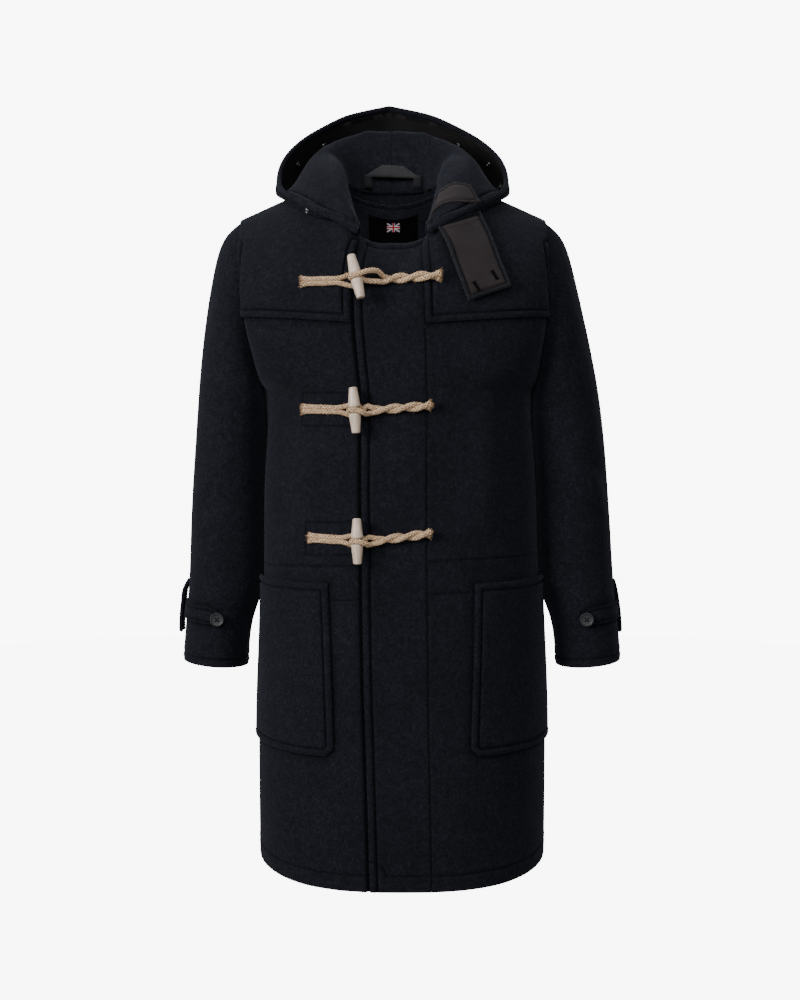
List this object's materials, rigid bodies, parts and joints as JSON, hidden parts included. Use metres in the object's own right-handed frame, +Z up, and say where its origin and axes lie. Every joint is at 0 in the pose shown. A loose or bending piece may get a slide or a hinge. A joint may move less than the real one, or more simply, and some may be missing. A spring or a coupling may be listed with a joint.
{
  "type": "duffle coat",
  "caption": "Hooded long wool coat in worn shape, front closed by toggles and cord loops, with shoulder yoke, patch pockets and cuff straps.",
  "frame": {"origin": "middle of the neck opening at shoulder height, where a wearer carries the coat", "axes": "+Z up, front of the coat towards -Y, the wearer's left towards +X"},
  "size_m": [0.6602, 0.3794, 1.1428],
  "materials": {
    "navy_wool": "felted wool, matt",
    "charcoal_cloth": "matt",
    "dark_facing": "satin",
    "loop_cloth": "matt",
    "label_cloth": "satin",
    "jute": "twisted yarn, matt",
    "bone": "satin",
    "dark_horn": "satin",
    "stud_steel": "satin"
  },
  "bodies": {
    "root": {"back": "navy_wool", "cuff_button_left": "dark_horn", "cuff_button_right": "dark_horn", "cuff_strap_left": "navy_wool", "cuff_strap_right": "navy_wool", "cuff_tab_left": "navy_wool", "cuff_tab_right": "navy_wool", "flat_cord_1": "jute", "flat_cord_2": "jute", "flat_cord_3": "jute", "front_left": "navy_wool", "front_right": "navy_wool", "hanger_loop": "loop_cloth", "hood_facing": "dark_facing", "hood_left": "navy_wool", "hood_right": "navy_wool", "neck_facing": "navy_wool", "neck_label": "label_cloth", "pocket_left": "navy_wool", "pocket_right": "navy_wool", "press_stud_1": "stud_steel", "press_stud_2": "stud_steel", "press_stud_3": "stud_steel", "press_stud_4": "stud_steel", "press_stud_5": "stud_steel", "press_stud_6": "stud_steel", "sleeve_left": "navy_wool", "sleeve_right": "navy_wool", "throat_patch": "charcoal_cloth", "throat_tab": "charcoal_cloth", "toggle_1": "bone", "toggle_2": "bone", "toggle_3": "bone", "twisted_cord_1": "jute", "twisted_cord_2": "jute", "twisted_cord_3": "jute", "yoke_back": "navy_wool", "yoke_front_left": "navy_wool", "yoke_front_right": "navy_wool"}
  },
  "joints": []
}
